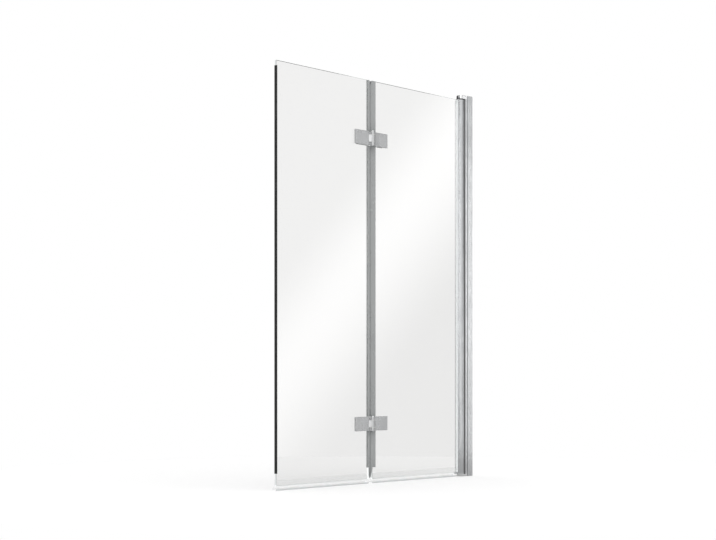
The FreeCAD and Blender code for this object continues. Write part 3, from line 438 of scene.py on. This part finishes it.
tree = FINISHES["clear_lip"].node_tree
shader = tree.nodes["Principled BSDF"]
foot = mask_from(tree, foot_group())
feed(tree, shader.inputs["Alpha"], map_range(tree, foot, 0, 1, *LIP_ALPHA))
feed(tree, shader.inputs["Base Color"], two_colours(tree, foot, *LIP_COLOURS))
print("lip ready")

# %% Painted highlight: near the fold, chrome that turns away from the front and back is made much lighter than the flat leaves
FOLD_X = -0.55
KNUCKLE_REACH = 0.03
LEAF_CHROME = (0.45, 0.455, 0.46)
# The colour of the painted highlight on the knuckles' round sides.
KNUCKLE_PAINTED_HIGHLIGHT = (0.80, 0.805, 0.81)
FACING_FROM, FACING_FULLY = 0.5, 0.9


def facing(group, axis):
    """How squarely a surface faces along the axis, from 0 to 1."""
    along = dot(group, new_node(group, "ShaderNodeTexCoord").outputs["Normal"], axis)
    return map_range(group, math_node(group, "ABSOLUTE", along), FACING_FROM, FACING_FULLY)


def knuckle_highlight_group():
    """Puts out 1 near the fold, where a surface turns away from the front and the back: the mask of
    the painted highlight.
    """
    group, out = open_group("knuckle_highlight", Mask="Float")
    near_fold = math_node(group, "COMPARE", place_of(group, "X"), FOLD_X, KNUCKLE_REACH)
    turned_away = math_node(group, "SUBTRACT", 1.0, facing(group, (0, 1, 0)))
    feed(group, out.inputs["Mask"], math_node(group, "MULTIPLY", near_fold, turned_away))
    return group


tree = FINISHES["chrome"].node_tree
sides = mask_from(tree, knuckle_highlight_group())
shader = tree.nodes["Principled BSDF"]
feed(tree, shader.inputs["Base Color"], two_colours(tree, sides, LEAF_CHROME, KNUCKLE_PAINTED_HIGHLIGHT))
print("knuckles ready")

# %% [markdown]
# ## Glass
# Clear float glass has a faint green in it. Light crosses a face in 8 mm of it and looks almost
# colourless, but the top edge is seen along the pane, so it looks dark. The upright ends get a
# painted glow that stands in for the light the pane leads along. Faces and edges differ in their
# normals, and that picks both.

# %% Glass finish
FACE_TINT = (0.868, 0.866, 0.861)
TOP_TINT = (0.20, 0.30, 0.27)
END_TINT = (0.86, 0.88, 0.88)
# Painted glow of the upright ends, given out as emission.
END_PAINTED_GLOW = (0.68, 0.70, 0.70)
GLASS_IOR = 1.52


def glass_edges_group():
    """Puts out the tint, and a painted glow on the pane's upright ends, given out as emission."""
    group, out = open_group("glass_edges", Tint="Color", Glow="Color")
    at_end = facing(group, (1, 0, 0))
    tints = new_node(group, "ShaderNodeMix", data_type="RGBA")
    feed(group, tints.inputs["Factor"], at_end)
    feed(group, tints.inputs[6], two_colours(group, facing(group, (0, 1, 0)), TOP_TINT, FACE_TINT))
    feed(group, tints.inputs[7], (*END_TINT, 1))
    feed(group, out.inputs["Tint"], tints.outputs[2])
    feed(group, out.inputs["Glow"], two_colours(group, at_end, (0, 0, 0), END_PAINTED_GLOW))
    return group


def make_glass():
    material, tree, shader = blank_material("clear_glass")
    edges = new_node(tree, "ShaderNodeGroup", node_tree=glass_edges_group())
    feed(tree, shader.inputs["Base Color"], edges.outputs["Tint"])
    feed(tree, shader.inputs["Emission Color"], edges.outputs["Glow"])
    feed(tree, shader.inputs["Emission Strength"], 1.0)
    feed(tree, shader.inputs["Roughness"], 0.0)
    feed(tree, shader.inputs["IOR"], GLASS_IOR)
    feed(tree, shader.inputs["Specular IOR Level"], 1.0)
    feed(tree, shader.inputs["Transmission Weight"], 1.0)
    return material


FINISHES["clear_glass"] = make_glass()
print("glass ready")

# %% Give every CAD piece its finish
OWN_FINISH = {
    # The pivot profile's darker aluminium is painted shade.
    "pivot_profile": "pivot_aluminium",
    "head_bracket": "bright_chrome",
    "foot_bracket": "bright_chrome",
}
for name, node in nodes.items():
    if not node.material_slots:
        node.data.materials.append(None)
    for slot in node.material_slots:
        slot.material = FINISHES[OWN_FINISH.get(name, slot_of[name])]
print(len(nodes), "nodes finished")

# %% [markdown]
# ## Soft strips
# Seals, gaskets and wiper lips are thin walls squeezed through a die. So each is made as a drawn
# line of its section: one vertex is extruded from point to point, the line is pulled out along
# the strip, and Solidify gives the wall its thickness.

# %% A strip pulled from its section
def start_line(name, point):
    """One vertex at the point: a small plane, merged to its middle."""
    bpy.ops.object.select_all(action="DESELECT")
    bpy.ops.mesh.primitive_plane_add(size=0.01, location=point)
    piece = bpy.context.object
    piece.name = piece.data.name = name
    bpy.ops.object.transform_apply(location=True, rotation=True, scale=True)
    bpy.ops.object.mode_set(mode="EDIT")
    bpy.ops.mesh.select_mode(type="VERT")
    bpy.ops.mesh.select_all(action="SELECT")
    bpy.ops.mesh.merge(type="CENTER")
    return piece


def apply_modifier(piece, kind, **settings):
    """Adds a modifier with its settings and makes its result the mesh."""
    modifier = piece.modifiers.new(kind.title(), kind)
    for name, value in settings.items():
        setattr(modifier, name, value)
    bpy.context.view_layer.objects.active = piece
    bpy.ops.object.modifier_apply(modifier=modifier.name)


SHARP_ANGLE = 0.9
WALL_EASE = 0.22


def ease_edges(piece, width, segments):
    """Takes the sharpness off every edge that turns by more than the angle."""
    apply_modifier(
        piece, "BEVEL", width=width, segments=segments, limit_method="ANGLE", angle_limit=SHARP_ANGLE)


def pull_strip(name, section, pull, wall):
    """Draws the section, pulls it by the vector and gives it a wall with eased edges."""
    piece = start_line(name, section[0])
    for here, there in zip(section, section[1:]):
        step = Vector(there) - Vector(here)
        bpy.ops.mesh.extrude_region_move(TRANSFORM_OT_translate={"value": step})
    bpy.ops.mesh.select_all(action="SELECT")
    bpy.ops.mesh.extrude_region_move(TRANSFORM_OT_translate={"value": pull})
    bpy.ops.object.mode_set(mode="OBJECT")
    apply_modifier(piece, "SOLIDIFY", thickness=wall, offset=0, use_even_offset=True)
    ease_edges(piece, wall * WALL_EASE, 2)
    return piece


def cut_off(piece, point, normal):
    """Cuts away what lies on the normal's side of a plane, and closes the cut."""
    bpy.ops.object.select_all(action="DESELECT")
    piece.select_set(True)
    bpy.context.view_layer.objects.active = piece
    bpy.ops.object.mode_set(mode="EDIT")
    bpy.ops.mesh.select_all(action="SELECT")
    away = Vector(normal).normalized()
    bpy.ops.mesh.bisect(plane_co=point, plane_no=away, use_fill=True, clear_outer=True)
    bpy.ops.object.mode_set(mode="OBJECT")


def join(name, pieces):
    bpy.ops.object.select_all(action="DESELECT")
    for piece in pieces:
        piece.select_set(True)
    bpy.context.view_layer.objects.active = pieces[0]
    bpy.ops.object.join()
    whole = bpy.context.object
    whole.name = whole.data.name = name
    bpy.ops.object.shade_smooth_by_angle(angle=math.radians(35))
    return whole


def hand_over(piece, node, finish=None):
    """The piece stands for the CAD node: its finish, its body and its slot."""
    piece.data.materials.clear()
    piece.data.materials.append(FINISHES[finish or slot_of[node]])
    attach(piece, nodes[node]["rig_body"])
    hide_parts(node)


print("strip tools ready")

# %% [markdown]
# ## Edge seals in the fold gap
# Each pane's edge wears a clear seal: a grip that clasps the glass, and a hollow bulb that closes
# the gap when the panes lie flat. The foot of the bulb is cut to a point over the bottom seal,
# and the top has a small V, so that the two bulbs clear each other as the screen folds.

# %% Edge seals
MM = 0.001
GRIP_Y = 4.68
GRIP_START = 9.35
OUTER_GRIP_REACH, INNER_GRIP_REACH = 14.5, 25.0
GRIP_FLARE = 4.86
BULB_RADIUS = 8.4
SEAL_WALL = 1.2
BULB_BELOW_GRIP = 0.037
FOOT_CUT_START, FOOT_CUT = 0.3, (37, -9.7)
TOP_V_DEPTH, TOP_CUT = 0.022, (-22, 6)


def from_fold(side, x, y, z):
    """A point from its distance to the fold axis and its depth in millimetres, and its height."""
    return (FOLD_X + side * x * MM, y * MM, z)


def make_edge_seal(node, side, reach, grip_low, low, high):
    """A grip that reaches that far from the fold, and a bulb that can start below it."""
    half_grip = [(reach, GRIP_FLARE), (reach - 1, GRIP_Y), (GRIP_START, GRIP_Y)]
    grip_section = [(x, -y) for x, y in half_grip] + half_grip[::-1]
    turns = [math.radians(-90 + 15 * step) for step in range(13)]
    bulb_section = [(GRIP_START - BULB_RADIUS * math.cos(t), GRIP_Y * math.sin(t)) for t in turns]
    strips = []
    for part, section, foot in (("grip", grip_section, grip_low), ("bulb", bulb_section, low)):
        points = [from_fold(side, x, y, foot) for x, y in section]
        strips.append(pull_strip(f"{node}_{part}", points, (0, 0, high - foot), SEAL_WALL * MM))
    return strips


for side_name, side, reach in (("outer", -1, OUTER_GRIP_REACH), ("inner", 1, INNER_GRIP_REACH)):
    for length in ("low", "middle", "high"):
        node = f"{side_name}_edge_seal_{length}"
        corner_low, corner_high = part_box(node)
        low, high = corner_low.z, corner_high.z
        grip_low = low + BULB_BELOW_GRIP if length == "low" else low
        grip, bulb = make_edge_seal(node, side, reach, grip_low, low, high)
        if length == "low":
            away, up = FOOT_CUT
            cut_off(bulb, from_fold(side, FOOT_CUT_START, 0, low), (side * away, 0, up))
        if length == "high":
            away, up = TOP_CUT
            cut_off(bulb, from_fold(side, 0, 0, high - TOP_V_DEPTH), (side * away, 0, up))
        hand_over(join("dressed_" + node, [grip, bulb]), node)
print("edge seals ready")

# %% Strip on the free edge
STRIP_SECTION = [
    (4.3, -4.62), (3.2, -4.6), (1.6, -4.6), (0.95, -4.3), (0.72, -3.6),
    (0.72, 3.6), (0.95, 4.3), (1.6, 4.6), (3.2, 4.6), (4.3, 4.62),
]
STRIP_WALL = 1.05
corner_low, corner_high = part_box("free_edge_strip")
points = [(corner_low.x + x * MM, y * MM, corner_low.z) for x, y in STRIP_SECTION]
strip = pull_strip("strip_wall", points, (0, 0, corner_high.z - corner_low.z), STRIP_WALL * MM)
hand_over(join("dressed_free_edge_strip", [strip]), "free_edge_strip")
print("edge strip ready")

# %% [markdown]
# ## Bottom seals
# A clip holds on to the foot of the glass. Under it a soft lip reaches down to the bath rim, and
# behind it a fin throws drips back into the bath.

# %% Bottom seals
CLIP_SECTION = [
    (-4.8, 35.3), (-4.64, 34.2), (-4.64, 15.35), (4.64, 15.35), (4.64, 34.2), (4.8, 35.3),
]
LIP_SECTION = [(-4.2, 15.3), (-4.55, 12.0), (-4.6, 8.0), (-4.2, 4.0), (-3.4, 0.5)]
FIN_SECTION = [(4.3, 15.2), (6.6, 13.9), (9.2, 11.4), (11.6, 8.2), (13.5, 4.6)]
BOTTOM_PARTS = {"clip": (CLIP_SECTION, 1.1), "lip": (LIP_SECTION, 0.9), "fin": (FIN_SECTION, 0.9)}


def make_bottom_seal(node):
    corner_low, corner_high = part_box(node)
    pull = (corner_high.x - corner_low.x, 0, 0)
    walls = []
    for part, (section, wall) in BOTTOM_PARTS.items():
        points = [(corner_low.x, y * MM, z * MM) for y, z in section]
        walls.append(pull_strip(f"{node}_{part}", points, pull, wall * MM))
    return join("dressed_" + node, walls)


for node in ("inner_bottom_seal", "outer_bottom_seal"):
    hand_over(make_bottom_seal(node), node, "clear_lip")
print("bottom seals ready")

# %% [markdown]
# ## Gaskets and wiper lips
# Two clear gaskets wedge the glass in the pivot profile, and their lips turn out over its mouth.
# Two rubber lips on the expander brush the turning barrel and keep water from running between.

# %% Glazing gaskets
GASKET_SECTION = [(0.45, 1.75), (1.0, 1.25), (2.2, 1.1), (10.2, 1.1)]
GASKET_WALL = 1.8


def plan_points(node, towards, section):
    """Points in millimetres from the node's left edge and from its face nearest the glass."""
    corner_low, corner_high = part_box(node)
    inner = corner_low.y if towards > 0 else corner_high.y
    return [(corner_low.x + x * MM, inner + towards * y * MM, corner_low.z) for x, y in section]


def upright_strip(name, node, towards, section, wall):
    corner_low, corner_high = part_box(node)
    height = corner_high.z - corner_low.z
    return pull_strip(name, plan_points(node, towards, section), (0, 0, height), wall * MM)


# The gaskets' milky finish carries a painted glow.
for face, towards in (("front", -1), ("back", 1)):
    node = f"glazing_gasket_{face}"
    strip = upright_strip(node + "_strip", node, towards, GASKET_SECTION, GASKET_WALL)
    hand_over(join("dressed_" + node, [strip]), node, "milky_gasket")
print("gaskets ready")

# %% Wiper lips
WIPER_LIP_SECTION = [(5.1, 1.0), (3.4, 1.0), (1.8, 0.8), (0.5, 0.6)]
WIPER_LIP_WALL = 0.7
WIPER_FOOT_SECTION = [(4.85, 0.35), (4.85, 1.45)]
WIPER_FOOT_WALL = 0.63
for face, towards in (("front", -1), ("back", 1)):
    node = f"wiper_{face}"
    lip = upright_strip(node + "_lip", node, towards, WIPER_LIP_SECTION, WIPER_LIP_WALL)
    foot = upright_strip(node + "_foot", node, towards, WIPER_FOOT_SECTION, WIPER_FOOT_WALL)
    hand_over(join("dressed_" + node, [lip, foot]), node)
print("wiper lips ready")

# %% [markdown]
# ## Leaf pads
# The hinge leaves and their clamp plates never touch the glass. A thin pad lies between, with
# round corners and two holes for the clamp screws.

# %% Leaf pads
PAD_START = 10.3
SCREWS_FROM_FOLD = (30, 56)
PAD_HOLE = 3.2
PAD_THICKNESS = 0.96
PAD_MARGIN = 0.3
PAD_CORNER = 1.5
PAD_EASE = 0.12
GLASS_FACE = 4.02
LEAF_REACH, CLAMP_REACH = 81, 66


def punch(piece, place, radius):
    """Punches a round hole through the piece, front to back."""
    bpy.ops.object.select_all(action="DESELECT")
    bpy.ops.mesh.primitive_cylinder_add(
        vertices=40, radius=radius, depth=0.01, location=place, rotation=(math.radians(90), 0, 0))
    punch_tool = bpy.context.object
    apply_modifier(piece, "BOOLEAN", operation="DIFFERENCE", solver="EXACT", object=punch_tool)
    bpy.data.objects.remove(punch_tool)


def make_pad(name, side, reach, towards, low, high):
    """A pad on one face of the glass: towards is -1 at the front and 1 at the back."""
    near, far = PAD_START, reach - PAD_MARGIN
    face, middle = towards * GLASS_FACE, (low + high) / 2
    bpy.ops.object.select_all(action="DESELECT")
    place = from_fold(side, (near + far) / 2, face, middle)
    bpy.ops.mesh.primitive_plane_add(size=1, location=place, rotation=(math.radians(90), 0, 0))
    piece = bpy.context.object
    piece.name = piece.data.name = name
    piece.scale = ((far - near) * MM, high - low - 2 * PAD_MARGIN * MM, 1)
    bpy.ops.object.transform_apply(location=True, rotation=True, scale=True)
    bpy.ops.object.mode_set(mode="EDIT")
    bpy.ops.mesh.select_all(action="SELECT")
    bpy.ops.mesh.bevel(affect="VERTICES", offset=PAD_CORNER * MM, segments=4)
    thickness = (0, towards * PAD_THICKNESS * MM, 0)
    bpy.ops.mesh.extrude_region_move(TRANSFORM_OT_translate={"value": thickness})
    bpy.ops.mesh.select_all(action="SELECT")
    bpy.ops.mesh.normals_make_consistent(inside=False)
    bpy.ops.object.mode_set(mode="OBJECT")
    for distance in SCREWS_FROM_FOLD:
        punch(piece, from_fold(side, distance, face, middle), PAD_HOLE * MM)
    ease_edges(piece, PAD_EASE * MM, 1)
    return piece


for side_name, side in (("outer", -1), ("inner", 1)):
    pads = []
    for height in ("lower", "upper"):
        low, high = (corner.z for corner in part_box(f"{height}_{side_name}_clamp"))
        for part, reach, towards in (("front", LEAF_REACH, -1), ("back", CLAMP_REACH, 1)):
            name = f"{height}_{side_name}_{part}_pad"
            pads.append(make_pad(name, side, reach, towards, low, high))
    hand_over(join(f"dressed_{side_name}_leaf_pads", pads), f"{side_name}_leaf_pads")
print("leaf pads ready")

# %% Rounding a box's corners
def plain(box):
    return [[round(value, 5) for value in corner] for corner in box]
